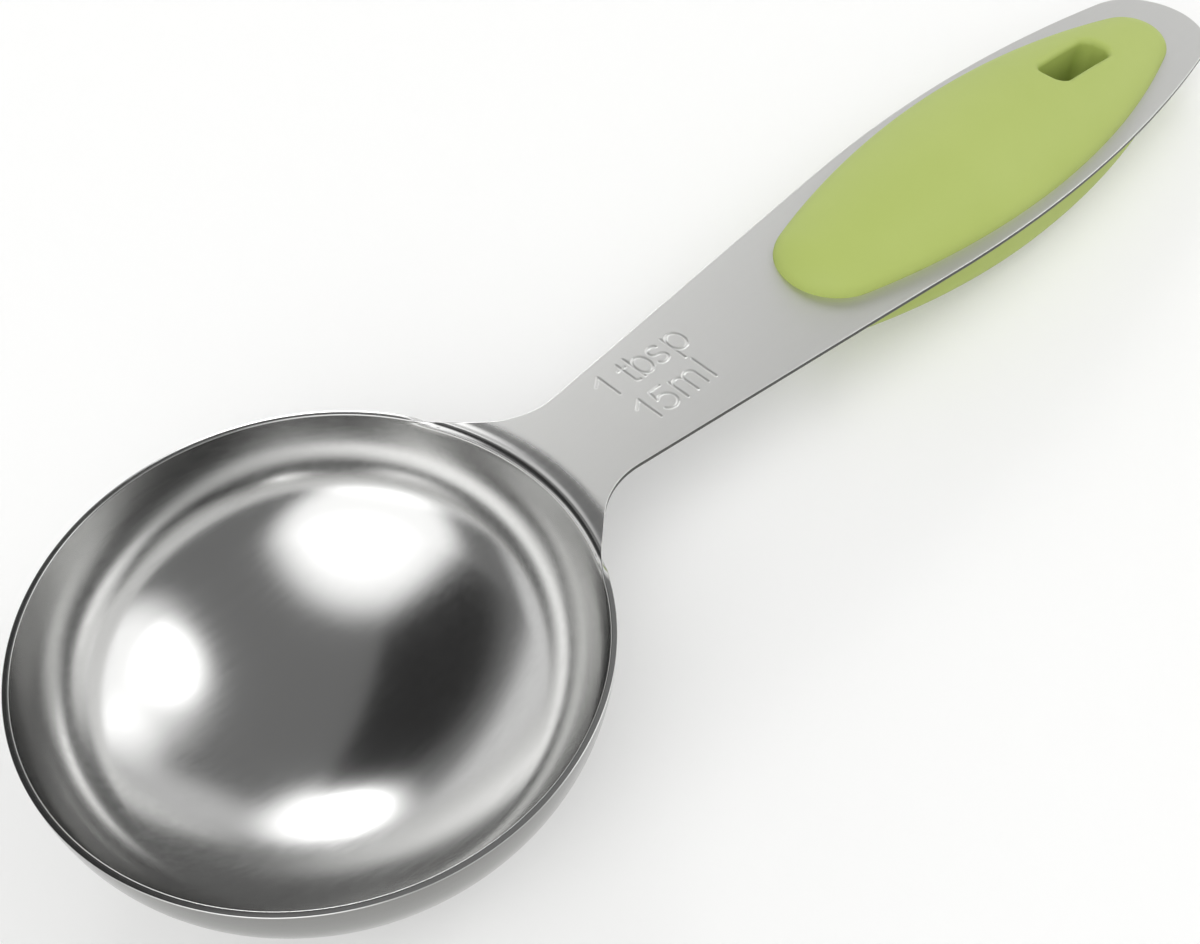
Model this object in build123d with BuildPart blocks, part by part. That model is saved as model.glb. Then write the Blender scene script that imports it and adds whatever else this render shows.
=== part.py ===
"""Tablespoon measure (15 ml): a stamped steel bowl and handle with a soft two-sided grip.

Millimetres and degrees, +Z up. The origin is the centre of the bowl's mouth, on the plane of the rim, and +X
runs along the handle.
"""

import os
from math import acos, asin, atan2, cos, degrees, radians, sin, tan

from build123d import *

# Steel sheet and the level rim that it is cut to
sheet = 0.5
mouth_radius = 21.5

# Bowl, from the rim down: a steep wall, a tighter bend and a shallow floor, each one arc. A slope is counted
# from the horizontal. With these sizes the bowl holds 15 ml to the rim.
rim_slope = 88.0
wall_radius = 19.2
wall_foot_slope = 79.5
bend_radius = 11.2
bend_foot_slope = 35.0

# Root of the handle: the wall turns over a lip, falls away from the bowl and levels out in a shallow valley
lip_bend = 0.1
lip_fall = 16.0
valley_radius = 3.0

# Plan of the handle plate
handle_length = 94.1
shoulder_angle = 29.5
shoulder_slope = 42.0
neck_round = 7.3
taper_slope = 5.9
plate_half_width = 9.67
widest_from_tip = 35.3
tip_radius = 6.65

# Soft pads: the upper one is a dome, the lower one a flat-bottomed heel
pad_length = 57.3
pad_from_tip = 5.6
pad_half_width = 8.43
pad_bowl_end_radius = 5.34
pad_tip_end_radius = 4.17
pad_height = 4.4
heel_length = 58.0
heel_from_tip = 3.3
heel_side_step = 0.34
heel_depth = 5.9
heel_round = 2.4
pad_skin = 1.2

# Hanging slot through the whole grip
slot_length = 9.2
slot_width = 3.4
slot_corner = 1.25
slot_from_pad_end = 15.0
slot_wall = 1.0

# Pegs that join the two cores through the plate
peg_radius = 2.0
peg_reach = 3.0
peg_end_space = 0.4
peg_places_share = (0.28, 0.66)

# Clearances: a peg in its socket, and every other pair of pieces that lie side by side
peg_fit = 0.05
fit_gap = 0.1

# Cuts run past the material by this much
overrun = 1.0

# Heights and places that follow from these sizes
lip_radius = lip_bend + sheet
wall_centre_height = wall_radius * cos(radians(rim_slope))
lip_foot_slope = degrees(acos((lip_radius + wall_centre_height) / (wall_radius + lip_radius)))
lip_foot_radius = mouth_radius - wall_radius * (sin(radians(rim_slope)) - sin(radians(lip_foot_slope)))
lip_foot_height = -lip_radius * (1 - cos(radians(lip_foot_slope)))
plate_top = -(lip_radius + valley_radius) * (1 - cos(radians(lip_fall)))
plate_bottom = plate_top - sheet
rim_radius = mouth_radius + sheet
tip_x = rim_radius + handle_length
widest_x = tip_x - widest_from_tip
pad_end = tip_x - pad_from_tip
pad_start = pad_end - pad_length
heel_end = tip_x - heel_from_tip
heel_start = heel_end - heel_length
slot_x = pad_end - slot_from_pad_end
core_inset = pad_skin + fit_gap
slot_room = slot_wall + fit_gap
pad_front_room = slot_x - slot_length / 2 - slot_room - pad_start
peg_places = [(pad_start + share * pad_front_room, 0) for share in peg_places_share]


def bowl_section(outset):
    """Fill half of the bowl's section, its face moved outwards by outset: three tangent arcs to the axis."""
    wall_centre = (mouth_radius - wall_radius * sin(radians(rim_slope)), wall_centre_height)
    wall_arc_radius = wall_radius + outset
    top_slope = degrees(acos(wall_centre[1] / wall_arc_radius))
    with BuildLine() as section:
        wall = CenterArc(wall_centre, wall_arc_radius, top_slope - 90, wall_foot_slope - top_slope)
        bend = JernArc(wall @ 1, wall % 1, bend_radius + outset, bend_foot_slope - wall_foot_slope)
        floor_radius = (bend @ 1).X / sin(radians(bend_foot_slope))
        floor = JernArc(bend @ 1, bend % 1, floor_radius, -bend_foot_slope)
        Polyline(floor @ 1, (0, 0), wall @ 0)
    make_face(section.edges())


def root_section():
    """Fill half of the section of the lip, the valley and the level plate, out past the handle's tip."""
    reach = tip_x + overrun
    rising = (cos(radians(lip_foot_slope)), sin(radians(lip_foot_slope)))
    under_foot = (lip_foot_radius + sheet * rising[1], lip_foot_height - sheet * rising[0])
    with BuildLine() as section:
        lip = JernArc((lip_foot_radius, lip_foot_height), rising, lip_radius, -(lip_foot_slope + lip_fall))
        valley = JernArc(lip @ 1, lip % 1, valley_radius, lip_fall)
        lip_under = JernArc(under_foot, rising, lip_bend, -(lip_foot_slope + lip_fall))
        valley_under = JernArc(lip_under @ 1, lip_under % 1, valley_radius + sheet, lip_fall)
        Polyline(valley @ 1, (reach, plate_top), (reach, plate_bottom), valley_under @ 1)
        Line(lip @ 0, lip_under @ 0)
    make_face(section.edges())


def side_radius(run, half_width, end_radius):
    """Radius of the arc that leaves the widest place and meets an end arc whose centre is run away."""
    return (run**2 + half_width**2 - end_radius**2) / (2 * (half_width - end_radius))


def handle_plan():
    """Fill the plate's plan: straight shoulders off the mouth, round necks, a straight taper, a round tip."""
    tip_run = widest_from_tip - tip_radius
    arc_radius = side_radius(tip_run, plate_half_width, tip_radius)
    drop = arc_radius - plate_half_width
    side_start = (widest_x - arc_radius * sin(radians(taper_slope)),
                  arc_radius * cos(radians(taper_slope)) - drop)
    tip_slope = degrees(atan2(tip_run, drop))
    shoulder = (mouth_radius * cos(radians(shoulder_angle)), mouth_radius * sin(radians(shoulder_angle)))
    fall, rise = tan(radians(shoulder_slope)), tan(radians(taper_slope))
    corner_x = (shoulder[1] + fall * shoulder[0] - side_start[1] + rise * side_start[0]) / (fall + rise)
    corner = (corner_x, side_start[1] + rise * (corner_x - side_start[0]))
    with BuildLine() as plan:
        FilletPolyline((0, 0), shoulder, corner, side_start, radius=(0, neck_round))
        side = JernArc(side_start, (cos(radians(taper_slope)), sin(radians(taper_slope))), arc_radius,
                       -(taper_slope + tip_slope))
        JernArc(side @ 1, side % 1, tip_radius, tip_slope - 90)
        mirror(about=Plane.XZ)
    make_face(plan.edges())


def grip_plan_line(start, end, half_width, start_radius, end_radius):
    """Draw half of the grip's oval from end to end: a tight arc, two long flat arcs and a tight arc."""
    start_run = widest_x - start - start_radius
    end_run = end - end_radius - widest_x
    first = side_radius(start_run, half_width, start_radius)
    second = side_radius(end_run, half_width, end_radius)
    first_turn = degrees(asin(start_run / (first - start_radius)))
    second_turn = degrees(asin(end_run / (second - end_radius)))
    nose = JernArc((start, 0), (0, 1), start_radius, first_turn - 90)
    flank = JernArc(nose @ 1, nose % 1, first, -first_turn)
    far_flank = JernArc(flank @ 1, flank % 1, second, -second_turn)
    JernArc(far_flank @ 1, far_flank % 1, end_radius, second_turn - 90)


def dome(inset):
    """Body above the plate: the upper pad's half plan turned about its long axis, then flattened."""
    with BuildPart() as body:
        with BuildSketch():
            with BuildLine() as half:
                grip_plan_line(pad_start + inset, pad_end - inset, pad_half_width - inset,
                               pad_bowl_end_radius - inset, pad_tip_end_radius - inset)
                Line(half.line @ 1, half.line @ 0)
            make_face()
        revolve(axis=Axis.X)
        scale(by=(1, 1, (pad_height - inset) / (pad_half_width - inset)))
        split(bisect_by=Plane.XY)
    return body.part.moved(Location((0, 0, plate_top)))


def heel(inset):
    """Body below the plate: the heel's plan carried straight down, its lower edge rounded."""
    with BuildPart() as body:
        with BuildSketch(Plane.XY.offset(plate_bottom)):
            with BuildLine():
                grip_plan_line(heel_start + inset, heel_end - inset, pad_half_width + heel_side_step - inset,
                               pad_bowl_end_radius + heel_side_step - inset,
                               pad_tip_end_radius + heel_side_step - inset)
                mirror(about=Plane.XZ)
            make_face()
        extrude(amount=-(heel_depth - inset))
        fillet(body.faces().sort_by(Axis.Z)[0].edges(), radius=heel_round - inset)
    return body.part


def slot_plan(outset):
    """Fill the hanging slot's plan, grown all round by outset."""
    with Locations((slot_x, 0)):
        RectangleRounded(slot_length + 2 * outset, slot_width + 2 * outset, slot_corner + outset)


# Handle plate with its lip, before it meets the bowl
with BuildPart() as handle_plate:
    with BuildSketch(Plane.XZ):
        root_section()
    revolve(axis=Axis.Z)
    with BuildSketch(Plane.XY.offset(plate_bottom - overrun)):
        handle_plan()
    extrude(amount=2 * overrun - plate_bottom, mode=Mode.INTERSECT)

# Bowl and handle: one stamping, its rim cut level except where the lip leads into the handle
with BuildPart() as steel_spoon:
    with BuildSketch(Plane.XZ):
        bowl_section(sheet)
    revolve(axis=Axis.Z)
    with BuildSketch(Plane.XZ):
        bowl_section(0)
    revolve(axis=Axis.Z, mode=Mode.SUBTRACT)
    with BuildSketch(Plane.XY.offset(lip_foot_height)):
        handle_plan()
    extrude(amount=overrun - lip_foot_height, mode=Mode.SUBTRACT)
    add(handle_plate.part)
    with BuildSketch(Plane.XY.offset(plate_bottom - overrun)):
        slot_plan(slot_room)
        with Locations(*peg_places):
            Circle(peg_radius + fit_gap)
    extrude(amount=sheet + 2 * overrun, mode=Mode.SUBTRACT)
steel_spoon.part.label = "steel_spoon"

# Upper core: fills the dome, stands on the plate and sends its pegs down through it
upper_core_body = dome(core_inset)
with BuildPart() as upper_core:
    add(upper_core_body)
    with BuildSketch(Plane.XY.offset(plate_bottom - peg_reach)):
        with Locations(*peg_places):
            Circle(peg_radius)
    extrude(amount=sheet + peg_reach + pad_height / 2)
    with BuildSketch(Plane.XY.offset(plate_top - overrun)):
        slot_plan(slot_room)
    extrude(amount=pad_height + 2 * overrun, mode=Mode.SUBTRACT)
upper_core.part.label = "upper_core"

# Lower core: fills the heel and takes the pegs in two blind sockets
lower_core_body = heel(core_inset)
with BuildPart() as lower_core:
    add(lower_core_body)
    with BuildSketch(Plane.XY.offset(plate_bottom)):
        with Locations(*peg_places):
            Circle(peg_radius + peg_fit)
    extrude(amount=-(peg_reach + peg_end_space), mode=Mode.SUBTRACT)
    with BuildSketch(Plane.XY.offset(plate_bottom + overrun)):
        slot_plan(slot_room)
    extrude(amount=-(heel_depth + 2 * overrun), mode=Mode.SUBTRACT)
lower_core.part.label = "lower_core"

# Upper pad: a soft dome over the upper core, with a wall down the slot to the plate
dome_body = dome(0)
dome_space = dome(pad_skin)
with BuildPart() as upper_grip_pad:
    add(dome_body)
    with BuildSketch(Plane.XY.offset(plate_top)):
        slot_plan(slot_wall)
    slot_lining = extrude(amount=pad_height, mode=Mode.PRIVATE)
    add(dome_space - slot_lining, mode=Mode.SUBTRACT)
    with BuildSketch(Plane.XY.offset(plate_top - overrun)):
        slot_plan(0)
    extrude(amount=pad_height + 2 * overrun, mode=Mode.SUBTRACT)
upper_grip_pad.part.label = "upper_grip_pad"

# Lower pad: a soft cover round the lower core, with a sleeve up the slot and through the plate
heel_body = heel(0)
heel_space = heel(pad_skin)
with BuildPart() as lower_grip_pad:
    add(heel_body)
    with BuildSketch(Plane.XY.offset(plate_bottom)):
        slot_plan(slot_wall)
    sleeve = extrude(amount=-heel_depth, mode=Mode.PRIVATE)
    add(heel_space - sleeve, mode=Mode.SUBTRACT)
    with BuildSketch(Plane.XY.offset(plate_bottom)):
        slot_plan(slot_wall)
    extrude(amount=sheet)
    with BuildSketch(Plane.XY.offset(plate_top + overrun)):
        slot_plan(0)
    extrude(amount=-(heel_depth + sheet + 2 * overrun), mode=Mode.SUBTRACT)
lower_grip_pad.part.label = "lower_grip_pad"

os.makedirs("parts", exist_ok=True)
for piece in (steel_spoon, upper_core, lower_core, upper_grip_pad, lower_grip_pad):
    export_step(piece.part, f"parts/{piece.part.label}.step")

# Room in the bowl up to its rim, in millilitres
with BuildPart() as bowl_room:
    with BuildSketch(Plane.XZ):
        bowl_section(0)
    revolve(axis=Axis.Z)
depth = bowl_room.part.bounding_box().size.Z
print(f"bowl holds {bowl_room.part.volume / 1000:.2f} ml, depth {depth:.2f} mm")
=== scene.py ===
"""Looks of the tablespoon measure: polished steel, soft green grip, pale studio.

The pieces are worked out in millimetres and become metres when their meshes are made. Each is a set of
surface patches that share their border points, so each is one closed skin.
"""

import bmesh
import bpy
import numpy as np
from mathutils import Matrix, Vector


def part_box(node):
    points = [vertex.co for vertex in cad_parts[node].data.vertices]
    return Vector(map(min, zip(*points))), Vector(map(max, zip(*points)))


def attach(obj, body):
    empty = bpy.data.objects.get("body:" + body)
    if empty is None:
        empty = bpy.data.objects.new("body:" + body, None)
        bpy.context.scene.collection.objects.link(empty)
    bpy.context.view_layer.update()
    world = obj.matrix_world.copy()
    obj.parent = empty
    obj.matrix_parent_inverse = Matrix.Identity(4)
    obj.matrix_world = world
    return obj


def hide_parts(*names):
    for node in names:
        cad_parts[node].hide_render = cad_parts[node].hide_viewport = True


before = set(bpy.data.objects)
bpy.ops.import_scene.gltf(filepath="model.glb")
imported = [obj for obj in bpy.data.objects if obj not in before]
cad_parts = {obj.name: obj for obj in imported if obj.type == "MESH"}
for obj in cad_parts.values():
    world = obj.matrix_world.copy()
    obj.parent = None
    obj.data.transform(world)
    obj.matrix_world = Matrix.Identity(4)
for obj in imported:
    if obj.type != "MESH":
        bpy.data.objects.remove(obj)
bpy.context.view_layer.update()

MM = 0.001
steel_lo, steel_hi = (np.array(corner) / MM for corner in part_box("steel_spoon"))
pad_lo, pad_hi = (np.array(corner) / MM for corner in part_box("upper_grip_pad"))
heel_lo, heel_hi = (np.array(corner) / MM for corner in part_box("lower_grip_pad"))

# Sheet, mouth and bowl: three tangent arcs from a shallow floor to a steep wall
sheet = 0.5
mouth_radius = -steel_lo[0] - sheet
rim_slope = np.radians(88.0)
wall_radius = 19.2
wall_foot_slope = np.radians(79.5)
bend_radius = 11.2
bend_foot_slope = np.radians(35.0)

# Root of the handle: the wall turns over a lip and levels out in a valley
lip_inner_radius = 0.1
lip_radius = sheet + lip_inner_radius
lip_fall = np.radians(16.0)
valley_radius = 3.0
lip_slope = np.arccos((lip_radius + wall_radius * np.cos(rim_slope)) / (wall_radius + lip_radius))
lip_foot = (mouth_radius - wall_radius * (np.sin(rim_slope) - np.sin(lip_slope)),
            -lip_radius * (1 - np.cos(lip_slope)))
crest_length = lip_radius * lip_slope
lip_length = lip_radius * (lip_slope + lip_fall)
valley_length = valley_radius * lip_fall
plate_top = -(lip_radius + valley_radius) * (1 - np.cos(lip_fall))
plate_bottom = plate_top - sheet

# Plan of the handle
tip_x = steel_hi[0]
shoulder_angle = np.radians(29.5)
shoulder_slope = np.radians(42.0)
neck_round = 7.3
taper_slope = np.radians(5.9)
plate_half_width = 9.67
widest_x = tip_x - 35.3
tip_radius = 6.65

# Grip
pad_half_width = (pad_hi[1] - pad_lo[1]) / 2
heel_half_width = (heel_hi[1] - heel_lo[1]) / 2
pad_end_radii = (5.34, 4.17)
heel_side_step = heel_half_width - pad_half_width
heel_round = 2.4
pad_skin = 1.2
slot_centre = np.array([pad_hi[0] - 15.0, 0.0])
slot_half = np.array([4.6, 1.7])
slot_corner = 1.25
slot_wall = 1.0
core_gap = 0.1
slot_hole_outset = slot_wall + core_gap
peg_shares = np.array([0.28, 0.66])
peg_places = pad_lo[0] + peg_shares * (slot_centre[0] - slot_half[0] - slot_hole_outset - pad_lo[0])
peg_hole_radius = 2.1

# Small roundings of cut and moulded edges
edge_round = 0.07
slot_lead = 0.7
slot_foot_round = 0.5
slot_margin = 0.45

# How many rows and columns of points each surface gets, and how far fine points reach past a hole
handle_columns, rim_columns = 57, 230
floor_rows, bend_rows, wall_rows, rim_rows = 27, 19, 6, 4
fold_rows, lip_rows, valley_rows, neck_rows, grip_rows = 21, 5, 12, 22, 91
oval_rows = (12, 50, 34, 12)
dome_columns, base_columns = 65, 41
slot_roll_rows, heel_corner_rows, heel_side_rows = 7, 8, 3
hole_margin = 0.3


def smooth_step(t):
    """Eases from 0 to 1 as t goes from 0 to 1: 3t2 - 2t3."""
    t = np.clip(t, 0, 1)
    return t * t * (3 - 2 * t)


def unit(vectors):
    """Vectors scaled to length 1."""
    return vectors / np.linalg.norm(vectors, axis=-1, keepdims=True)


def side_radius(run, half_width, end_radius):
    """Radius of the arc that leaves the widest place and meets an end arc whose centre is run away."""
    return (run**2 + half_width**2 - end_radius**2) / (2 * (half_width - end_radius))


class Skin:
    """Points and faces of one piece, gathered from patches that share border points."""

    def __init__(self):
        self.points = []
        self.total = 0
        self.faces = []
        self.level = []

    def add(self, xyz):
        """Takes a grid of points of any shape and returns their numbers in that shape."""
        numbers = self.total + np.arange(xyz[..., 0].size).reshape(xyz.shape[:-1])
        self.points.append(xyz.reshape(-1, 3))
        self.total += numbers.size
        return numbers

    def keep(self, faces, level):
        """Stores faces, each row the point numbers of one, and whether they are level."""
        self.faces.append(faces)
        self.level.append(np.full(len(faces), level))

    def quads(self, ids, closed=False, level=False, open_cells=None):
        """Covers a grid of point numbers with quads, save where open_cells marks a cell; closed joins the
        last column to the first."""
        grid = np.hstack([ids, ids[:, :1]]) if closed else ids
        cells = np.stack([grid[:-1, :-1], grid[1:, :-1], grid[1:, 1:], grid[:-1, 1:]], axis=-1)
        self.keep(cells.reshape(-1, 4) if open_cells is None else cells[~open_cells], level)

    def rings(self, loops, level=False):
        """Joins closed loops of equal count, each to the next."""
        self.quads(np.stack(loops), closed=True, level=level)

    def fan(self, hub, row, level=False):
        """Joins a hub point to a row of points."""
        self.keep(np.stack([np.full(len(row) - 1, hub), row[:-1], row[1:]], axis=-1), level)

    def knit(self, row_a, place_a, row_b, place_b):
        """Fills the strip between rows of unlike counts, stepping along whichever row is behind."""
        steps = np.concatenate([place_a[1:], place_b[1:]])
        from_a = np.arange(len(steps)) < len(place_a) - 1
        from_a = from_a[np.argsort(steps, kind="stable")]
        at_a = np.concatenate([[0], np.cumsum(from_a)])
        at_b = np.concatenate([[0], np.cumsum(~from_a)])
        new = np.where(from_a, row_a[at_a[1:]], row_b[at_b[1:]])
        self.keep(np.stack([row_a[at_a[:-1]], row_b[at_b[:-1]], new], axis=-1), True)

    def sharpen(self, mesh):
        """Marks the edges of level faces as sharp, so that curved faces beside them keep their shading."""
        corners = np.zeros(len(mesh.polygons), np.int32)
        edges = np.zeros(len(mesh.loops), np.int32)
        mesh.polygons.foreach_get("loop_total", corners)
        mesh.loops.foreach_get("edge_index", edges)
        sharp = np.zeros(len(mesh.edges), bool)
        sharp[edges[np.repeat(np.concatenate(self.level), corners)]] = True
        mesh.edges.foreach_set("use_edge_sharp", sharp)

    def mesh(self, name):
        """The mesh in metres of the points that faces use; all but the level faces are shaded smooth."""
        used = np.unique(np.concatenate([block.ravel() for block in self.faces]))
        renumbered = np.zeros(self.total, int)
        renumbered[used] = np.arange(len(used))
        faces = [face for block in self.faces for face in renumbered[block].tolist()]
        mesh = bpy.data.meshes.new(name)
        mesh.from_pydata(np.concatenate(self.points)[used] * MM, [], faces)
        mesh.polygons.foreach_set("use_smooth", ~np.concatenate(self.level))
        return mesh

    def piece(self, name, material, slot):
        """Makes the piece, turns its faces outwards and lets it ride on the root body."""
        mesh = self.mesh(name)
        solid = bmesh.new()
        solid.from_mesh(mesh)
        bmesh.ops.recalc_face_normals(solid, faces=solid.faces)
        solid.to_mesh(mesh)
        solid.free()
        self.sharpen(mesh)
        mesh.materials.append(material)
        made = bpy.data.objects.new(name, mesh)
        bpy.context.scene.collection.objects.link(made)
        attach(made, "root")
        return made


def around_block(first_row, last_row, first_column, last_column):
    """Row and column numbers of the border of a block of a grid, once round."""
    rows = np.arange(first_row, last_row + 1)
    columns = np.arange(first_column, last_column + 1)
    row = np.concatenate([np.full(len(columns), first_row), rows[1:],
                          np.full(len(columns) - 1, last_row), rows[-2:0:-1]])
    column = np.concatenate([columns, np.full(len(rows) - 1, last_column),
                             columns[-2::-1], np.full(len(rows) - 2, first_column)])
    return row, column


def hole_loop(plan, centre, half, corner, outset=0.0):
    """For each plan point outside, the nearest point on a rounded rectangle grown by outset."""
    core = half - corner
    away = plan - centre
    base = np.clip(away, -core, core)
    return centre + base + (corner + outset) * unit(away - base)


def cells_in(shape, block):
    """Marks the cells of a grid that lie in a block."""
    marked = np.zeros((shape[0] - 1, shape[1] - 1), bool)
    marked[block[0]:block[1], block[2]:block[3]] = True
    return marked


def with_height(plan, z):
    """Plan points with a height, one for all or one for each."""
    return np.concatenate([plan, np.broadcast_to(z, plan.shape[:-1])[..., None]], axis=-1)


# Steel spoon
tip_centre = tip_x - tip_radius
side_arc = side_radius(tip_centre - widest_x, plate_half_width, tip_radius)
side_drop = side_arc - plate_half_width
side_start = (widest_x - side_arc * np.sin(taper_slope), side_arc * np.cos(taper_slope) - side_drop)
tip_join_x = tip_centre + tip_radius * np.sin(np.arctan2(tip_centre - widest_x, side_drop))
shoulder = mouth_radius * np.array([np.cos(shoulder_angle), np.sin(shoulder_angle)])
fall, rise = np.tan(shoulder_slope), np.tan(taper_slope)
corner_x = (shoulder[1] + fall * shoulder[0] - side_start[1] + rise * side_start[0]) / (fall + rise)
corner_y = side_start[1] + rise * (corner_x - side_start[0])
neck_reach = neck_round * np.tan((shoulder_slope + taper_slope) / 2)
neck_from = corner_x - neck_reach * np.cos(shoulder_slope)
neck_to = corner_x + neck_reach * np.cos(taper_slope)
neck_centre = (neck_to - neck_round * np.sin(taper_slope),
               corner_y + neck_reach * np.sin(taper_slope) + neck_round * np.cos(taper_slope))


def circle_height(radius, from_centre):
    """Height of a circle over its middle line."""
    return np.sqrt(np.maximum(radius**2 - from_centre**2, 0))


def plate_half(x, inset=0.0):
    """Half width of the plate's outline moved in by inset: shoulder line, neck arc, taper line, side arc
    and tip arc in turn."""
    return np.select(
        [x < neck_from, x < neck_to, x < side_start[0], x < tip_join_x],
        [shoulder[1] - fall * (x - shoulder[0]) - inset / np.cos(shoulder_slope),
         neck_centre[1] - circle_height(neck_round + inset, x - neck_centre[0]),
         side_start[1] + rise * (x - side_start[0]) - inset / np.cos(taper_slope),
         circle_height(side_arc - inset, x - widest_x) - side_drop],
        circle_height(tip_radius - inset, x - tip_centre))


def shoulder_azimuth(radius, inset=0.0):
    """Azimuth where the straight shoulder, moved in by inset, crosses a circle about the mouth's centre."""
    square = np.pi / 2 - shoulder_slope
    offset = mouth_radius * np.cos(shoulder_angle - square) - inset
    return square - np.arccos(offset / radius)


def arc_on(start, slope, slopes, radius):
    """Radii and heights on an arc of the meridian that passes start at slope: its run and rise are the
    radius times the change of the slope's sine and cosine."""
    return (start[0] + radius * (np.sin(slopes) - np.sin(slope)),
            start[1] - radius * (np.cos(slopes) - np.cos(slope)))


def above_foot(length, bend):
    """Radius and height at a length above the lip's foot. With bend 1 the sheet turns over the lip and
    into the valley, with bend 0 it goes straight on up to the rim, and between them it turns in part."""
    turn = bend / lip_radius - (1 - bend) / wall_radius
    lip = arc_on(lip_foot, lip_slope, lip_slope - turn * np.minimum(length, lip_length), -1 / turn)
    valley_slope = np.clip(length - lip_length, 0, valley_length) / valley_radius - lip_fall
    return arc_on(lip, -lip_fall, valley_slope, valley_radius)


def turned(radius, height, azimuth):
    """Points at a radius, height and azimuth about the bowl's axis."""
    return np.stack(np.broadcast_arrays(radius * np.cos(azimuth), radius * np.sin(azimuth), height), axis=-1)


def cup_meridian():
    """Radii, heights and slopes from near the bowl's bottom up to the lip's foot."""
    slopes = [np.linspace(start, end, count)[1:] for start, end, count in (
        (0.0, bend_foot_slope, floor_rows + 1), (bend_foot_slope, wall_foot_slope, bend_rows + 1),
        (wall_foot_slope, lip_slope, wall_rows + 1))]
    wall_foot = arc_on(lip_foot, lip_slope, wall_foot_slope, wall_radius)
    bend_foot = arc_on(wall_foot, wall_foot_slope, bend_foot_slope, bend_radius)
    floor_radius = bend_foot[0] / np.sin(bend_foot_slope)
    parts = [arc_on(bend_foot, bend_foot_slope, slopes[0], floor_radius),
             arc_on(wall_foot, wall_foot_slope, slopes[1], bend_radius),
             arc_on(lip_foot, lip_slope, slopes[2], wall_radius)]
    radii, heights = (np.concatenate(rows) for rows in zip(*parts))
    bottom = arc_on(bend_foot, bend_foot_slope, 0.0, floor_radius)[1]
    return radii, heights, np.concatenate(slopes), bottom, floor_radius


cup_radii, cup_heights, cup_slopes, cup_bottom, floor_radius = cup_meridian()

# The root patch spans a fan of azimuths, closer together towards the shoulders; the rim's even band takes up
# all the others. Between the crest of the lip and the even rim the wall folds over bit by bit
fold_run = 2.9
fan_crowding = 0.16
crest_radius = lip_foot[0] + lip_radius * np.sin(lip_slope)
crest_angle = shoulder_azimuth(crest_radius)
root_angle = crest_angle + fold_run / crest_radius
spread = np.linspace(-1, 1, handle_columns)
fan = spread + fan_crowding * np.sin(np.pi * spread)
rim_azimuths = np.linspace(root_angle, 2 * np.pi - root_angle, rim_columns + 2)[1:-1]
azimuths = np.concatenate([fan * root_angle, rim_azimuths])


def bend_share(azimuth):
    """How far the wall turns over the lip: fully between the shoulders, not at all along the rim. Along the
    fold the slope at which the sheet is cut level eases from the rim's to none, at the end as fast as makes
    the cut edge run on into the straight shoulder."""
    t = np.clip((root_angle - np.abs(azimuth)) / (root_angle - crest_angle), 0, 1)
    away = np.pi / 2 - crest_angle - shoulder_slope
    end_rate = np.tan(away) * fold_run / lip_radius
    slope = rim_slope * (1 - smooth_step(t)) + end_rate * t * t * (1 - t)
    turn = (np.cos(lip_slope) - np.cos(slope)) / lip_foot[1]
    return (turn + 1 / wall_radius) / (1 / lip_radius + 1 / wall_radius)


def folded(length, azimuth):
    """Points at a length above the lip's foot, turned over as far as the azimuth has it."""
    return turned(*above_foot(length, bend_share(azimuth)), azimuth)


def folded_normals(length, azimuth):
    """Normals there: the cross product of a small step up the length and one along the azimuth."""
    step = 1e-5
    up = folded(length + step, azimuth) - folded(length - step, azimuth)
    along = folded(length, azimuth + step) - folded(length, azimuth - step)
    return unit(np.cross(up, along))


def cup_grid(inset):
    """The bowl and its normals from its first ring up to inset below the rim's cut."""
    rim_length = wall_radius * (rim_slope - lip_slope) - inset
    lengths = np.linspace(0, rim_length, rim_rows + 1)[1:, None]
    low = turned(cup_radii[:, None], cup_heights[:, None], azimuths)
    low_normals = turned(-np.sin(cup_slopes)[:, None], np.cos(cup_slopes)[:, None], azimuths)
    normals = np.concatenate([low_normals, folded_normals(lengths, azimuths)])
    normals[-1, len(fan):] = -turned(1.0, 0.0, rim_azimuths)
    return np.concatenate([low, folded(lengths, azimuths)]), normals, rim_length


def root_grid(rim_length, inset):
    """The lip and valley with their normals, each row ending inset from where the sheet is cut: level with
    the rim, then at the shoulder."""
    last_angle = shoulder_azimuth(above_foot(crest_length - inset, 1.0)[0], inset)
    cut_angles = np.linspace(root_angle, last_angle, fold_rows + 1)[1:]
    turn = bend_share(cut_angles) / lip_radius - (1 - bend_share(cut_angles)) / wall_radius
    level_slope = np.arccos(np.minimum(np.cos(lip_slope) - lip_foot[1] * turn, 1))
    cut_lengths = (lip_slope - level_slope) / turn - inset
    over = np.linspace(crest_length - inset, lip_length, lip_rows + 1)[1:]
    valley = np.linspace(lip_length, lip_length + valley_length, valley_rows + 1)[1:]
    beyond = np.concatenate([over, valley])
    beyond_angles = shoulder_azimuth(above_foot(beyond, 1.0)[0], inset)
    lengths = np.concatenate([[rim_length], cut_lengths, beyond])[:, None]
    angles = np.concatenate([[root_angle], cut_angles, beyond_angles])[:, None] * fan
    return folded(lengths, angles), folded_normals(lengths, angles)


# The marking lies in a block of fine points on the plate, between wider columns out to the plate's edge
mark_from, mark_to, mark_half, mark_step = 31.0, 42.6, 4.6, 0.066
margin_shares = np.array([0.3, 0.62, 1.0])
mark_stroke_half, mark_soft, mark_depth = 0.06, 0.08, 0.07

# The last row of points runs along the tip, this far to each side
tip_arc = np.radians(62)


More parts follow.
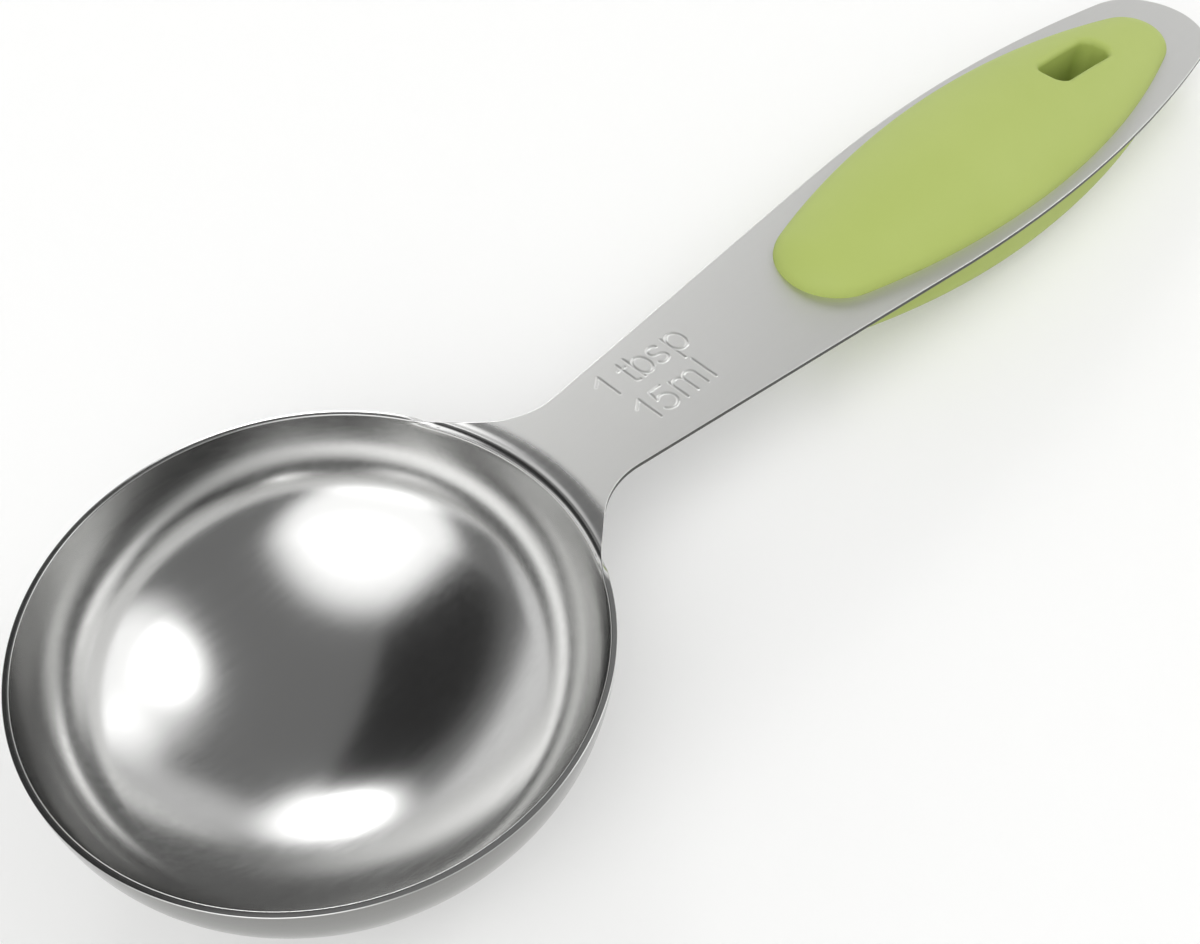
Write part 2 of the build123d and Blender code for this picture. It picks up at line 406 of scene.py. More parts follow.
def plate_grid(arc_x, arc_half, inset):
    """The level plate inside its outline moved in by inset, in three grids: rows eased from the valley's
    arc to straight ones, straight rows along the marking, and straight rows eased to the tip's arc."""
    t = np.linspace(0, 1, neck_rows + 2)[1:-1, None]
    bow = 1 - smooth_step(t)
    edge_x = arc_x[-1] + (mark_from - arc_x[-1]) * t
    shape = bow * arc_half / arc_half[-1] + (1 - bow) * spread
    first = (edge_x + bow * (arc_x - arc_x[-1]), plate_half(edge_x, inset) * shape)
    rows = np.linspace(mark_from, mark_to, int((mark_to - mark_from) / mark_step))[:, None]
    marked = (rows + 0 * spread, plate_half(rows, inset) * spread)
    end_radius = tip_radius - inset
    end_x = tip_centre + end_radius * np.cos(tip_arc)
    edge_x = np.linspace(mark_to, end_x, grip_rows + 1)[1:, None]
    bow = smooth_step((edge_x - widest_x) / (end_x - widest_x)) ** 2
    ahead = np.cos(tip_arc * spread) - np.cos(tip_arc)
    shape = bow * np.sin(tip_arc * spread) / np.sin(tip_arc) + (1 - bow) * spread
    last = (edge_x + bow * end_radius * ahead, plate_half(edge_x, inset) * shape)
    return [with_height(np.stack(grid, axis=-1), plate_top) for grid in (first, marked, last)]


def steel_grids(inset):
    """The sheet's upper face inside its outline moved in by inset: the bowl and its normals, the handle and
    its normals, and the row numbers at which the handle's four stretches end."""
    cup, cup_normals, rim_length = cup_grid(inset)
    root, root_normals = root_grid(rim_length, inset)
    stretches = [root, *plate_grid(root[-1, :, 0], root[-1, :, 1], inset)]
    handle = np.concatenate(stretches)
    handle_normals = np.zeros(handle.shape)
    handle_normals[..., 2] = 1
    handle_normals[:len(root)] = root_normals
    return cup, cup_normals, handle, handle_normals, np.cumsum([len(rows) for rows in stretches])


def once_round(cup, handle):
    """The sheet's border once round: tip, one side, rim and the other side."""
    return np.concatenate([handle[-1], handle[-2::-1, -1], cup[-1, len(fan):], handle[:-1, 0]])


def stroke_distance(plan, strokes):
    """Distance from each plan point to the nearest of the strokes' straight steps."""
    starts = np.concatenate([stroke[:-1] for stroke in strokes])
    steps = np.concatenate([np.diff(stroke, axis=0) for stroke in strokes])
    nearest = np.full(plan.shape[:-1], np.inf)
    for start, step in zip(starts, steps):
        away = plan - start
        along = np.clip(away @ step / (step @ step), 0, 1)
        nearest = np.minimum(nearest, np.linalg.norm(away - along[..., None] * step, axis=-1))
    return nearest


def bow_stroke(centre, radii, start, end):
    """A curved stroke: part of an ellipse between two angles in degrees."""
    turn = np.radians(np.linspace(start, end, 17))
    return np.array(centre) + np.array(radii) * np.stack([np.cos(turn), np.sin(turn)], axis=-1)


def line_stroke(*corners):
    """A stroke of straight steps from corner to corner."""
    return np.array(corners, float)


def marking_strokes():
    """Plain measure marking in two lines, one tablespoon and 15 ml, in millimetres on the plate."""
    high, low, rise_to, drop_to = 3.52, 1.45, 4.1, 0.6
    middle, half = (high + low) / 2, (high - low) / 2
    first = [
        line_stroke((31.9, 3.35), (32.82, 4.05), (32.82, low)),
        line_stroke((34.93, 4.0), (34.93, low + 0.35)),
        bow_stroke((35.28, low + 0.35), (0.35, 0.35), 180, 275),
        line_stroke((34.5, 3.36), (35.35, 3.36)),
        line_stroke((35.85, rise_to), (35.85, low)),
        bow_stroke((36.6, middle), (0.75, half), 0, 360),
        bow_stroke((38.4, middle + half / 2), (0.58, half / 2), 25, 270),
        bow_stroke((38.4, middle - half / 2), (0.62, half / 2), 90, -155),
        line_stroke((39.85, high), (39.85, drop_to)),
        bow_stroke((40.7, middle), (0.85, half), 0, 360),
    ]
    top, base = -0.1, -2.72
    small_top = top - 0.5
    second = [
        line_stroke((32.5, -0.8), (33.45, top), (33.45, base)),
        line_stroke((35.85, top - 0.05), (34.65, top - 0.05), (34.5, -1.25)),
        bow_stroke((35.12, -1.86), (0.86, 0.86), 135, -150),
        line_stroke((36.65, small_top + 0.1), (36.65, base)),
        bow_stroke((37.27, small_top - 0.62), (0.62, 0.62), 180, 0),
        line_stroke((37.89, small_top - 0.62), (37.89, base)),
        bow_stroke((38.51, small_top - 0.62), (0.62, 0.62), 180, 0),
        line_stroke((39.13, small_top - 0.62), (39.13, base)),
        line_stroke((40.1, top + 0.15), (40.1, base)),
    ]
    return first + second


def marked_grid(rows, inset):
    """The marked stretch of the plate with fine points, pressed down along the strokes and level beside
    them: full depth within the stroke's half width, eased to none over the soft edge."""
    fine = np.linspace(-mark_half, mark_half, int(2 * mark_half / mark_step) + 1)
    half = plate_half(rows, inset)[:, None]
    margin = mark_half + (half - mark_half) * margin_shares
    y = np.hstack([-margin[:, ::-1], np.broadcast_to(fine, (len(rows), len(fine))), margin])
    plan = np.stack([rows[:, None] + 0 * y, y], axis=-1)
    past_stroke = stroke_distance(plan, marking_strokes()) - mark_stroke_half
    pressed = mark_depth * (1 - smooth_step(past_stroke / mark_soft))
    return with_height(plan, plate_top - pressed)


def steel_skin():
    """Bowl and handle as one sheet: an upper face, the same face carried through the sheet's thickness
    along its normals, and a rounded band round the cut edge and in each pierced hole."""
    skin = Skin()
    face_inset = 2 * edge_round
    cup, cup_normals, handle, handle_normals, stops = steel_grids(face_inset)

    def face(drop, fine):
        """One face of the sheet, drop below the upper one; fine gives it the pressed marking."""
        cup_part = cup - drop * cup_normals
        handle_part = handle - drop * handle_normals
        cup_ids = skin.add(cup_part)
        pole = skin.add(np.array([[0.0, 0.0, cup_bottom - drop]]))[0]
        skin.fan(pole, np.append(cup_ids[0], cup_ids[0, 0]))
        skin.quads(cup_ids, closed=True)
        _, before_marks, marks, rest_points = np.split(handle_part, stops[:-1])
        root_ids = np.vstack([cup_ids[-1, :len(fan)], skin.add(handle_part[1:stops[1]])])
        skin.quads(root_ids)
        rest = skin.add(rest_points)
        if fine:
            middle_points = marked_grid(marks[:, 0, 0], face_inset)
            middle = skin.add(middle_points)
            for row, place, near in ((root_ids[-1], before_marks[-1], 0), (rest[0], rest_points[0], -1)):
                skin.knit(row, place[:, 1], middle[near], middle_points[near, :, 1])
        else:
            middle = skin.add(marks)
            skin.quads(np.stack([root_ids[-1], middle[0]]))
            skin.quads(np.stack([middle[-1], rest[0]]))
        skin.quads(middle)
        open_cells = np.zeros((len(rest) - 1, len(spread) - 1), bool)
        hole_ids = []
        holes = [(np.array([x, 0.0]), np.full(2, peg_hole_radius), peg_hole_radius) for x in peg_places]
        holes.append((slot_centre, slot_half + slot_hole_outset, slot_corner + slot_hole_outset))
        for centre, half, corner in holes:
            row_x = rest_points[:, len(spread) // 2, 0]
            first_row = np.searchsorted(row_x, centre[0] - half[0] - hole_margin) - 1
            last_row = np.searchsorted(row_x, centre[0] + half[0] + hole_margin)
            tightest = rest_points[[first_row, last_row], :, 1].min(axis=0)
            column = np.searchsorted(tightest, half[1] + hole_margin)
            block = (first_row, last_row, len(spread) - 1 - column, column)
            open_cells |= cells_in(rest.shape, block)
            border = around_block(*block)
            plan = hole_loop(rest_points[border][:, :2], centre, half, corner)
            loop = skin.add(with_height(plan, plate_top - drop))
            skin.rings([rest[border], loop])
            hole_ids.append(loop)
        skin.quads(rest, open_cells=open_cells)
        near_side, far_side = (np.concatenate([root_ids[:, end], middle[:, end], rest[:, end]])
                               for end in (0, -1))
        border = [rest[-1], far_side[-2::-1], cup_ids[-1, len(fan):], near_side[:-1]]
        return np.concatenate(border), hole_ids

    upper_border, upper_holes = face(0.0, True)
    lower_border, lower_holes = face(sheet, False)

    # The cut edge, its corners rounded: each starts edge_round in on its face and ends on the cut
    (edge, edge_normals), (inner, inner_normals) = (
        [once_round(*pair) for pair in (grids[0:4:2], grids[1:4:2])]
        for grids in (steel_grids(0.0), steel_grids(edge_round)))
    low_edge, low_inner = edge - sheet * edge_normals, inner - sheet * inner_normals
    leans = np.radians([0, 30, 60, 90])
    band = [edge + (inner - edge) * (1 - np.sin(lean)) - edge_round * edge_normals * (1 - np.cos(lean))
            for lean in leans]
    band += [low_edge + (low_inner - low_edge) * (1 - np.sin(lean))
             + edge_round * edge_normals * (1 - np.cos(lean)) for lean in leans[::-1]]
    skin.rings([upper_border] + [skin.add(loop) for loop in band] + [lower_border])
    for upper, lower in zip(upper_holes, lower_holes):
        skin.rings([upper, lower], level=True)
    return skin


# Soft pads
def oval(start, end, half_width, radii):
    """Half outline of the grip from the bowl end to the tip end, as centres, radii and directions of a
    tight arc, two long flat arcs and a tight arc. An inset outline has the same centres."""
    runs = (widest_x - start - radii[0], end - radii[1] - widest_x)
    flat = [side_radius(run, half_width, radius) for run, radius in zip(runs, radii)]
    turns = [np.arcsin(run / (big - small)) for run, big, small in zip(runs, flat, radii)]
    square = np.pi / 2
    ends = (np.pi, square + turns[0], square, square - turns[1], 0.0)
    centres = ((start + radii[0], 0.0), (widest_x, half_width - flat[0]),
               (widest_x, half_width - flat[1]), (end - radii[1], 0.0))
    sizes = (radii[0], flat[0], flat[1], radii[1])
    rows = []
    for centre, size, begin, painted_tone, count in zip(centres, sizes, ends, ends[1:], oval_rows):
        angle = np.linspace(begin, painted_tone, count, endpoint=False)
        rows.append(np.stack([0 * angle + centre[0], 0 * angle + centre[1], 0 * angle + size, angle]))
    rows.append(np.array([[centres[-1][0]], [0.0], [radii[1]], [0.0]]))
    return np.hstack(rows)


def outline(shape, inset):
    """Plan points of an oval's half outline, moved inwards by inset."""
    x = shape[0] + (shape[2] - inset) * np.cos(shape[3])
    y = shape[1] + (shape[2] - inset) * np.sin(shape[3])
    return x, np.maximum(y, 0)


def block_round_slot(shape, inset, across_shares, room):
    """Block of a pad's grid that clears the slot by room, judged at its narrower end."""
    x, half = (row[1:-1] for row in outline(shape, inset))
    across = half[:, None] * across_shares
    first_row = np.searchsorted(x, slot_centre[0] - slot_half[0] - room) - 1
    last_row = np.searchsorted(x, slot_centre[0] + slot_half[0] + room)
    tightest = np.maximum(across[first_row], across[last_row])
    column = np.sum(tightest <= -(slot_half[1] + room)) - 1
    return first_row, last_row, column, across.shape[1] - 1 - column


def slot_outline(start, outset):
    """The hanging slot's outline grown by outset, a point on it for each start point outside."""
    return hole_loop(start, slot_centre, slot_half, slot_corner, outset)


ring_shares = (0.34, 0.67, 1.0)


def pad_patch(skin, shape, inset, height_at, across_shares, outset, turn, block):
    """One face of a pad over an oval, its height a function of the plan, open round the slot. Rings lead to
    the slot's outline grown by outset; with a turn, the edge there rolls over by a quarter circle, downwards
    or upwards by its sign. Returns the rim's loop, the slot's loop and the plan of the open block."""
    x, half = outline(shape, inset)
    across = half[1:-1, None] * across_shares
    plan = np.stack([x[1:-1, None] + 0 * across, across], axis=-1)
    ids = skin.add(with_height(plan, height_at(plan)))
    ends = np.array([[x[0], 0.0], [x[-1], 0.0]])
    poles = skin.add(with_height(ends, height_at(ends)))
    skin.fan(poles[0], ids[0])
    skin.fan(poles[1], ids[-1])
    skin.quads(ids, open_cells=cells_in(ids.shape, block))
    border = around_block(*block)
    start = plan[border]
    reach = slot_outline(start, outset + abs(turn))
    loops = [ids[border]]
    for share in ring_shares:
        ring = start + (reach - start) * share
        loops.append(skin.add(with_height(ring, height_at(ring))))
    for lean in np.radians(np.linspace(0, 90, slot_roll_rows + 1)[1:]) if turn else ():
        ring = slot_outline(start, outset + abs(turn) * (1 - np.sin(lean)))
        loops.append(skin.add(with_height(ring, height_at(ring) - turn * (1 - np.cos(lean)))))
    skin.rings(loops)
    rim = np.concatenate([poles[:1], ids[:, -1], poles[1:], ids[::-1, 0]])
    return rim, loops[-1], start


def upper_pad_skin():
    """Soft dome over the upper core: each cross section is half an ellipse whose height goes with the
    width there. An inner dome follows it, and both meet at the foot and in the slot's lining."""
    skin = Skin()
    shape = oval(pad_lo[0], pad_hi[0], pad_half_width, pad_end_radii)
    full_height = pad_hi[2] - plate_top
    across_shares = -np.cos(np.linspace(0, np.pi, dome_columns))

    def dome(inset):
        """Height over the plan: the half ellipse at each place along, inset inside the outer dome."""
        x, half = outline(shape, inset)
        ratio = (full_height - inset) / (pad_half_width - inset)
        return lambda plan: plate_top + ratio * circle_height(np.interp(plan[..., 0], x, half), plan[..., 1])

    block = block_round_slot(shape, pad_skin, across_shares, slot_wall + slot_margin)
    rim, slot_loop, start = pad_patch(skin, shape, 0.0, dome(0.0), across_shares, 0.0, slot_lead, block)
    inner_rim, lining_top, inner_start = pad_patch(
        skin, shape, pad_skin, dome(pad_skin), across_shares, slot_wall, 0.0, block)
    skin.rings([rim, inner_rim], level=True)
    foot = skin.add(with_height(slot_outline(start, 0.0), plate_top))
    lining_foot = skin.add(with_height(slot_outline(inner_start, slot_wall), plate_top))
    skin.rings([slot_loop, foot])
    skin.rings([foot, lining_foot, lining_top], level=True)
    return skin


def lower_pad_skin():
    """Soft cover round the lower core: straight sides, a rounded lower edge and a flat underside. The
    cavity inside follows it, and a sleeve lines the slot up to the top of the plate."""
    skin = Skin()
    radii = [radius + heel_side_step for radius in pad_end_radii]
    shape = oval(heel_lo[0], heel_hi[0], heel_half_width, radii)
    across_shares = np.linspace(-1, 1, base_columns)

    def side_loop(inset, z):
        """The oval moved in by inset, once round at a height."""
        x, half = outline(shape, inset)
        plan = np.stack([np.append(x, x[-2:0:-1]), np.append(half, -half[-2:0:-1])], axis=-1)
        return skin.add(with_height(plan, z))

    def wall(inset, bottom, corner):
        """Loops up a side wall from its rounded lower edge to the plate."""
        leans = np.radians(np.linspace(90, 0, heel_corner_rows + 1)[1:])
        places = [(inset + corner * (1 - np.cos(lean)), bottom + corner * (1 - np.sin(lean)))
                  for lean in leans]
        places += [(inset, z) for z in np.linspace(bottom + corner, plate_bottom, heel_side_rows + 1)[1:]]
        return [side_loop(*place) for place in places]

    bottom = heel_lo[2]
    floor = bottom + pad_skin
    block = block_round_slot(shape, heel_round, across_shares, slot_wall + slot_margin)
    rim, slot_loop, start = pad_patch(
        skin, shape, heel_round, lambda plan: bottom + 0 * plan[..., 0], across_shares, 0.0,
        -slot_foot_round, block)
    inner_rim, sleeve_foot, inner_start = pad_patch(
        skin, shape, heel_round, lambda plan: floor + 0 * plan[..., 0], across_shares, slot_wall, 0.0, block)
    outer = [rim] + wall(0.0, bottom, heel_round)
    inner = [inner_rim] + wall(pad_skin, floor, heel_round - pad_skin)
    skin.rings(outer)
    skin.rings([outer[-1], inner[-1]], level=True)
    skin.rings(inner)
    sleeve_top = skin.add(with_height(slot_outline(start, 0.0), plate_top))
    sleeve_outer = skin.add(with_height(slot_outline(inner_start, slot_wall), plate_top))
    skin.rings([slot_loop, sleeve_top])
    skin.rings([sleeve_top, sleeve_outer, sleeve_foot], level=True)
    return skin


# Materials: the steel's mirror ends and its satin begins at these distances from the bowl's axis; from there
# on the steel is also painted a paler grey, painted light that brightens the handle plate
satin_and_painted_light_from = lip_foot[0] + lip_length + 0.7
satin_and_painted_light_to = satin_and_painted_light_from + 1.3
mirror_rough, satin_rough, grain_rough = 0.12, 0.42, 0.08


def linear(code):
    """sRGB hex code as linear red, green, blue and alpha."""
    parts = np.array([int(code[place:place + 2], 16) for place in (1, 3, 5)]) / 255
    low, high = parts / 12.92, ((parts + 0.055) / 1.055) ** 2.4
    return (*np.where(parts <= 0.04045, low, high), 1.0)


def add(tree, kind, inputs=None, **settings):
    """Adds a node with its settings; each input takes a value or the output that feeds it."""
    made = tree.nodes.new(kind)
    for name, value in settings.items():
        setattr(made, name, value)
    for socket, value in (inputs or {}).items():
        if isinstance(value, bpy.types.NodeSocket):
            tree.links.new(value, made.inputs[socket])
        else:
            made.inputs[socket].default_value = value
    return made


def new_material(name):
    """An empty material and its node tree."""
    material = bpy.data.materials.new(name)
    material.use_nodes = True
    material.node_tree.nodes.clear()
    return material, material.node_tree


def polished_stainless():
    """Stainless sheet, stamped and polished: a bright grey mirror in the bowl, which past the valley goes
    over to the satin of the handle, brushed lengthwise, that blurs what it reflects. The satin is also
    painted paler than the mirror, painted light on the handle plate; faces that look down are painted a
    deeper grey and the cut edge of the handle a dark grey, painted shade in what they reflect."""
    material, tree = new_material("polished_stainless_sheet")
    place = add(tree, "ShaderNodeTexCoord").outputs["Object"]
    # Brushed streaks 25 mm long and 0.4 mm wide, coarser than real ones so that they show
    along, across = 1 / (25.0 * MM), 1 / (0.4 * MM)
    grain_place = add(tree, "ShaderNodeMapping", {"Vector": place, "Scale": (along, across, across)})
    grain = add(tree, "ShaderNodeTexNoise",
                {"Vector": grain_place.outputs["Vector"], "Scale": 1.0, "Detail": 2.0})
    plan = add(tree, "ShaderNodeMapping", {"Vector": place, "Scale": (1.0, 1.0, 0.0)})
    from_axis = add(tree, "ShaderNodeVectorMath", {0: plan.outputs["Vector"]}, operation="LENGTH")
    # Past the valley the steel turns satin, and there it is painted paler than the mirror: painted light
    # that brightens the handle plate
    satin_and_painted_light = add(tree, "ShaderNodeMapRange",
                {"Value": from_axis.outputs["Value"], "From Min": satin_and_painted_light_from * MM,
                 "From Max": satin_and_painted_light_to * MM}, interpolation_type="SMOOTHSTEP")
    facing = add(tree, "ShaderNodeNewGeometry").outputs["True Normal"]
    upward = add(tree, "ShaderNodeSeparateXYZ", {"Vector": facing}).outputs["Z"]
    # Faces that look down, the bowl's outside and the handle's underside, are painted a deeper grey: painted
    # shade that darkens what they reflect
    painted_underside_shade = add(tree, "ShaderNodeMapRange", {"Value": upward, "From Min": -0.005, "From Max": -0.03})
    # Upright faces past the valley, the handle's cut edge and its holes, are painted dark grey: painted
    # shade in place of the dark that they reflect
    level = add(tree, "ShaderNodeMath", {0: upward}, operation="ABSOLUTE")
    painted_edge_shade = add(tree, "ShaderNodeMapRange",
                  {"Value": level.outputs[0], "From Min": 0.3, "From Max": 0.1,
                   "To Max": satin_and_painted_light.outputs["Result"]})
    colour = linear("#CBCBCA")
    # The paler satin is painted light; the deeper grey under the sheet and the dark cut edge are painted
    # shade
    for share, painted_tone in ((satin_and_painted_light, "#E0E0DE"), (painted_underside_shade, "#8C8C8A"), (painted_edge_shade, "#5A5A58")):
        colour = add(tree, "ShaderNodeMix", {"Factor": share.outputs["Result"], "A": colour,
                                             "B": linear(painted_tone)}, data_type="RGBA").outputs["Result"]
    rough = add(tree, "ShaderNodeMath",
                {0: satin_and_painted_light.outputs["Result"], 1: satin_rough - mirror_rough, 2: mirror_rough},
                operation="MULTIPLY_ADD")
    rough = add(tree, "ShaderNodeMath", {0: grain.outputs["Fac"], 1: grain_rough, 2: rough.outputs[0]},
                operation="MULTIPLY_ADD")
    bump = add(tree, "ShaderNodeBump", {"Height": grain.outputs["Fac"], "Strength": 0.04,
                                        "Distance": 0.02 * MM})
    shader = add(tree, "ShaderNodeBsdfPrincipled",
                 {"Base Color": colour, "Metallic": 1.0, "Roughness": rough.outputs[0],
                  "Normal": bump.outputs["Normal"]})
    add(tree, "ShaderNodeOutputMaterial", {"Surface": shader.outputs["BSDF"]})
    return material


def soft_rubber():
    """Thermoplastic rubber, moulded matt over the grip: a fine even skin of 0.12 mm grain with a broad soft
    sheen, its green clouded a little over 9 mm."""
    material, tree = new_material("moulded_soft_rubber")
    place = add(tree, "ShaderNodeTexCoord").outputs["Object"]
    skin_grain = add(tree, "ShaderNodeTexNoise", {"Vector": place, "Scale": 1 / (0.12 * MM), "Detail": 2.0})
    cloud = add(tree, "ShaderNodeTexNoise", {"Vector": place, "Scale": 1 / (9.0 * MM), "Detail": 2.0})
    tint = add(tree, "ShaderNodeMix", {"Factor": cloud.outputs["Fac"], "A": linear("#ADBD62"),
                                       "B": linear("#B4C36B")}, data_type="RGBA")
    bump = add(tree, "ShaderNodeBump", {"Height": skin_grain.outputs["Fac"], "Strength": 0.12,
                                        "Distance": 0.02 * MM})
    shader = add(tree, "ShaderNodeBsdfPrincipled",
                 {"Base Color": tint.outputs["Result"], "Roughness": 0.6, "IOR": 1.5,
                  "Normal": bump.outputs["Normal"]})
    add(tree, "ShaderNodeOutputMaterial", {"Surface": shader.outputs["BSDF"]})
    return material


def core_plastic():
    """Polypropylene, moulded plain for the inside of the grip: pale green, dull, with faint flow marks 4 mm
    wide."""
    material, tree = new_material("moulded_core_polypropylene")
    place = add(tree, "ShaderNodeTexCoord").outputs["Object"]
    flow = add(tree, "ShaderNodeTexNoise", {"Vector": place, "Scale": 1 / (4.0 * MM), "Detail": 3.0})
    tint = add(tree, "ShaderNodeMix", {"Factor": flow.outputs["Fac"], "A": linear("#8F9E55"),
                                       "B": linear("#A0AE66")}, data_type="RGBA")
    shader = add(tree, "ShaderNodeBsdfPrincipled",
                 {"Base Color": tint.outputs["Result"], "Roughness": 0.5, "IOR": 1.49})
    add(tree, "ShaderNodeOutputMaterial", {"Surface": shader.outputs["BSDF"]})
    return material


steel = polished_stainless()
rubber = soft_rubber()
spoon = steel_skin().piece("steel_spoon_sheet", steel, "stainless_steel")
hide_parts("steel_spoon")
upper_pad = upper_pad_skin().piece("upper_grip_skin", rubber, "soft_green")
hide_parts("upper_grip_pad")
lower_pad = lower_pad_skin().piece("lower_grip_skin", rubber, "soft_green")
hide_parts("lower_grip_pad")

plastic = core_plastic()
for core in ("upper_core", "lower_core"):
    core_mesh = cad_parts[core].data
    core_mesh.materials.clear()
    core_mesh.materials.append(plastic)

# Floor: tangent to the bowl's bottom and to the rounded far end of the heel
bowl_under = np.array([0.0, cup_bottom + floor_radius])
heel_end = np.array([heel_hi[0] - heel_round, heel_lo[2] + heel_round])
between = heel_end - bowl_under
floor_tilt = (np.arcsin((floor_radius + sheet - heel_round) / np.hypot(*between))
              - np.arctan2(-between[1], between[0]))
floor_normal = np.array([-np.sin(floor_tilt), 0.0, np.cos(floor_tilt)])
floor_point = np.array([bowl_under[0], 0.0, bowl_under[1]]) - (floor_radius + sheet) * floor_normal
paper_glow = 0.19


def pale_paper():
    """Uncoated matt paper: an even pale grey without sheen. A faint glow that only the camera, the steel's
    reflections and see-through things get makes the background pale and lights nothing."""
    material, tree = new_material("pale_paper")
    path = add(tree, "ShaderNodeLightPath").outputs
    seen = path["Is Camera Ray"]
    for ray in ("Is Glossy Ray", "Is Transmission Ray"):
        seen = add(tree, "ShaderNodeMath", {0: seen, 1: path[ray]}, operation="MAXIMUM").outputs[0]
    glow = add(tree, "ShaderNodeMath", {0: seen, 1: paper_glow}, operation="MULTIPLY")
    shader = add(tree, "ShaderNodeBsdfPrincipled",
                 {"Base Color": linear("#E6E6E5"), "Roughness": 0.9, "Specular IOR Level": 0.1,
                  "Emission Color": (1.0, 1.0, 1.0, 1.0), "Emission Strength": glow.outputs[0]})
    add(tree, "ShaderNodeOutputMaterial", {"Surface": shader.outputs["BSDF"]})
    return material


def studio_floor():
    """Level sheet of paper that curves up into a low wall all round: radius and height go straight, then
    along a quarter ellipse. It is tilted so that the spoon stands on it."""
    level_reach, curve_reach, curve_height = 900.0, 1500.0, 520.0
    lean = np.radians(np.linspace(0, 90, 13))
    radii = np.append([level_reach / 2], level_reach + (curve_reach - level_reach) * np.sin(lean))
    heights = np.append([0.0], curve_height * (1 - np.cos(lean)))
    azimuth = np.linspace(0, 2 * np.pi, 97)[:-1]
    grid = turned(radii[:, None], heights[:, None], azimuth)
    forward = np.array([np.cos(floor_tilt), 0.0, np.sin(floor_tilt)])
    frame_axes = np.stack([forward, [0.0, 1.0, 0.0], floor_normal])
    skin = Skin()
    ids = skin.add(floor_point + grid @ frame_axes)
    skin.quads(ids, closed=True)
    middle = skin.add(floor_point[None])[0]
    skin.fan(middle, np.append(ids[0], ids[0, 0]))
    mesh = skin.mesh("studio_floor")
    made = bpy.data.objects.new("studio_floor", mesh)
    bpy.context.scene.collection.objects.link(made)
    mesh.materials.append(pale_paper())


studio_floor()

# Light: a dim ceiling and soft oval panels, each with the azimuth and elevation of its middle and its half
# width and half height in degrees, the share of it that shines in full, and its strength
panels = (
    (206, 44, 38, 42, 0.5, 1.4),
    (209, 53, 24, 20, 0.0, 1.0),
    (203, 13, 52, 14, 0.2, 0.7),
    (338, 31, 34, 36, 0.25, 1.35),
    (337, 50, 17, 14, 0.0, 1.8),
    (2, 31, 16, 13, 0.0, 0.5),
    (58, 32, 19, 17, 0.0, 2.2),
    (60, 33, 10, 9, 0.0, 7.0),
    (105, 19, 60, 16, 0.3, 0.75),
    (28, 28, 24, 14, 0.0, 0.55),
)
ceiling_light = 0.22
soft_fill = 0.24

# The dark card is placed like a panel, and its strength is the share of the light that it takes away. It
# ends at the plane that has card_edge for its normal
dark_card = (98, 58, 46, 26, 0.5, 0.82)
card_edge = (127, -18)
card_edge_soft = 0.03


def towards(azimuth, elevation):
    """Direction of an azimuth and an elevation in degrees."""
    a, e = np.radians([azimuth, elevation])
    return np.cos(a) * np.cos(e), np.sin(a) * np.cos(e), np.sin(e)


def panel_light(tree, ray, azimuth, elevation, half_width, half_height, core, strength):
    """Light of one panel: the ray, turned into the panel's frame and divided by its half sizes, has a
    cosine that falls from 1 in the middle to that of 45 degrees on the oval edge."""
    sizes = np.tan(np.radians([half_width, half_height]))
    local = add(tree, "ShaderNodeMapping",
                {"Vector": ray, "Rotation": np.radians([0, -elevation, azimuth]),
                 "Scale": (1.0, *sizes)}, vector_type="TEXTURE")
    local = add(tree, "ShaderNodeVectorMath", {0: local.outputs[0]}, operation="NORMALIZE")
    inside = add(tree, "ShaderNodeVectorMath", {0: local.outputs[0], 1: (1.0, 0.0, 0.0)},
                 operation="DOT_PRODUCT")
    glow = add(tree, "ShaderNodeMapRange",
               {"Value": inside.outputs["Value"], "From Min": np.cos(np.pi / 4),
                "From Max": np.cos(np.arctan(core)), "To Min": 0.0, "To Max": strength},
               interpolation_type="SMOOTHERSTEP")
    return glow.outputs["Result"]


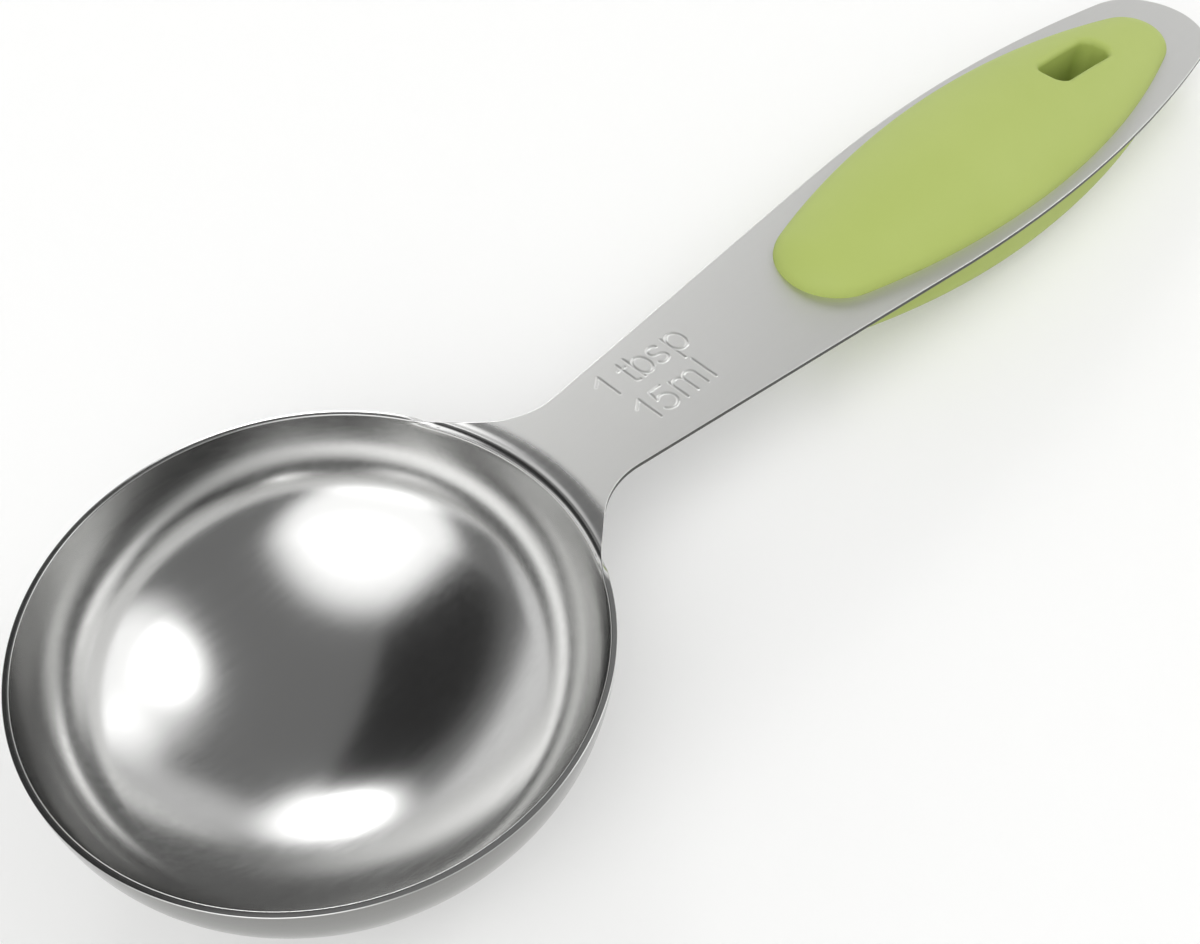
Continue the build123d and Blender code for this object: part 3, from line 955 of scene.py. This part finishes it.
def studio_light():
    """World that shines as a dim even ceiling plus the panels, less what the dark card takes away. The
    card is soft all round but for one straight crisp edge. Surfaces that scatter light, such as rubber and
    paper, get a faint even fill besides, which leaves what the steel reflects as it is."""
    world = bpy.data.worlds.new("studio_light")
    world.use_nodes = True
    tree = world.node_tree
    tree.nodes.clear()
    ray = add(tree, "ShaderNodeTexCoord").outputs["Generated"]
    total = panel_light(tree, ray, *panels[0])
    for panel in panels[1:]:
        total = add(tree, "ShaderNodeMath", {0: total, 1: panel_light(tree, ray, *panel)}).outputs[0]
    total = add(tree, "ShaderNodeMath", {0: total, 1: ceiling_light}).outputs[0]
    past = add(tree, "ShaderNodeVectorMath", {0: ray, 1: towards(*card_edge)}, operation="DOT_PRODUCT")
    past = add(tree, "ShaderNodeMapRange",
               {"Value": past.outputs["Value"], "From Min": -card_edge_soft / 2,
                "From Max": card_edge_soft / 2}, interpolation_type="SMOOTHERSTEP")
    card = add(tree, "ShaderNodeMath", {0: past.outputs["Result"], 1: panel_light(tree, ray, *dark_card)},
               operation="MULTIPLY")
    left = add(tree, "ShaderNodeMath", {0: 1.0, 1: card.outputs[0]}, operation="SUBTRACT")
    total = add(tree, "ShaderNodeMath", {0: total, 1: left.outputs[0]}, operation="MULTIPLY").outputs[0]
    scattered = add(tree, "ShaderNodeLightPath").outputs["Is Diffuse Ray"]
    total = add(tree, "ShaderNodeMath", {0: scattered, 1: soft_fill, 2: total},
                operation="MULTIPLY_ADD").outputs[0]
    shine = add(tree, "ShaderNodeBackground", {"Color": (1.0, 1.0, 1.0, 1.0), "Strength": total})
    add(tree, "ShaderNodeOutputWorld", {"Surface": shine.outputs["Background"]})
    bpy.context.scene.world = world


studio_light()

# Camera at the photograph's angle: a close view with a slightly long lens
view_turn, view_elevation, view_roll = (np.radians(angle) for angle in (-45.03, 49.12, 0.49))
camera_place = Vector((-0.03076517, -0.05985019, 0.09194764))
camera_data = bpy.data.cameras.new("camera")
camera_data.lens = 46.118
camera_data.sensor_width = 36.0
camera_data.clip_start = 0.005
camera = bpy.data.objects.new("camera", camera_data)
aim = (Matrix.Rotation(view_turn, 4, "Z") @ Matrix.Rotation(np.pi / 2 - view_elevation, 4, "X")
       @ Matrix.Rotation(view_roll, 4, "Z"))
camera.matrix_world = Matrix.Translation(camera_place) @ aim
bpy.context.scene.collection.objects.link(camera)
bpy.context.scene.camera = camera
bpy.context.scene.view_settings.view_transform = "Standard"
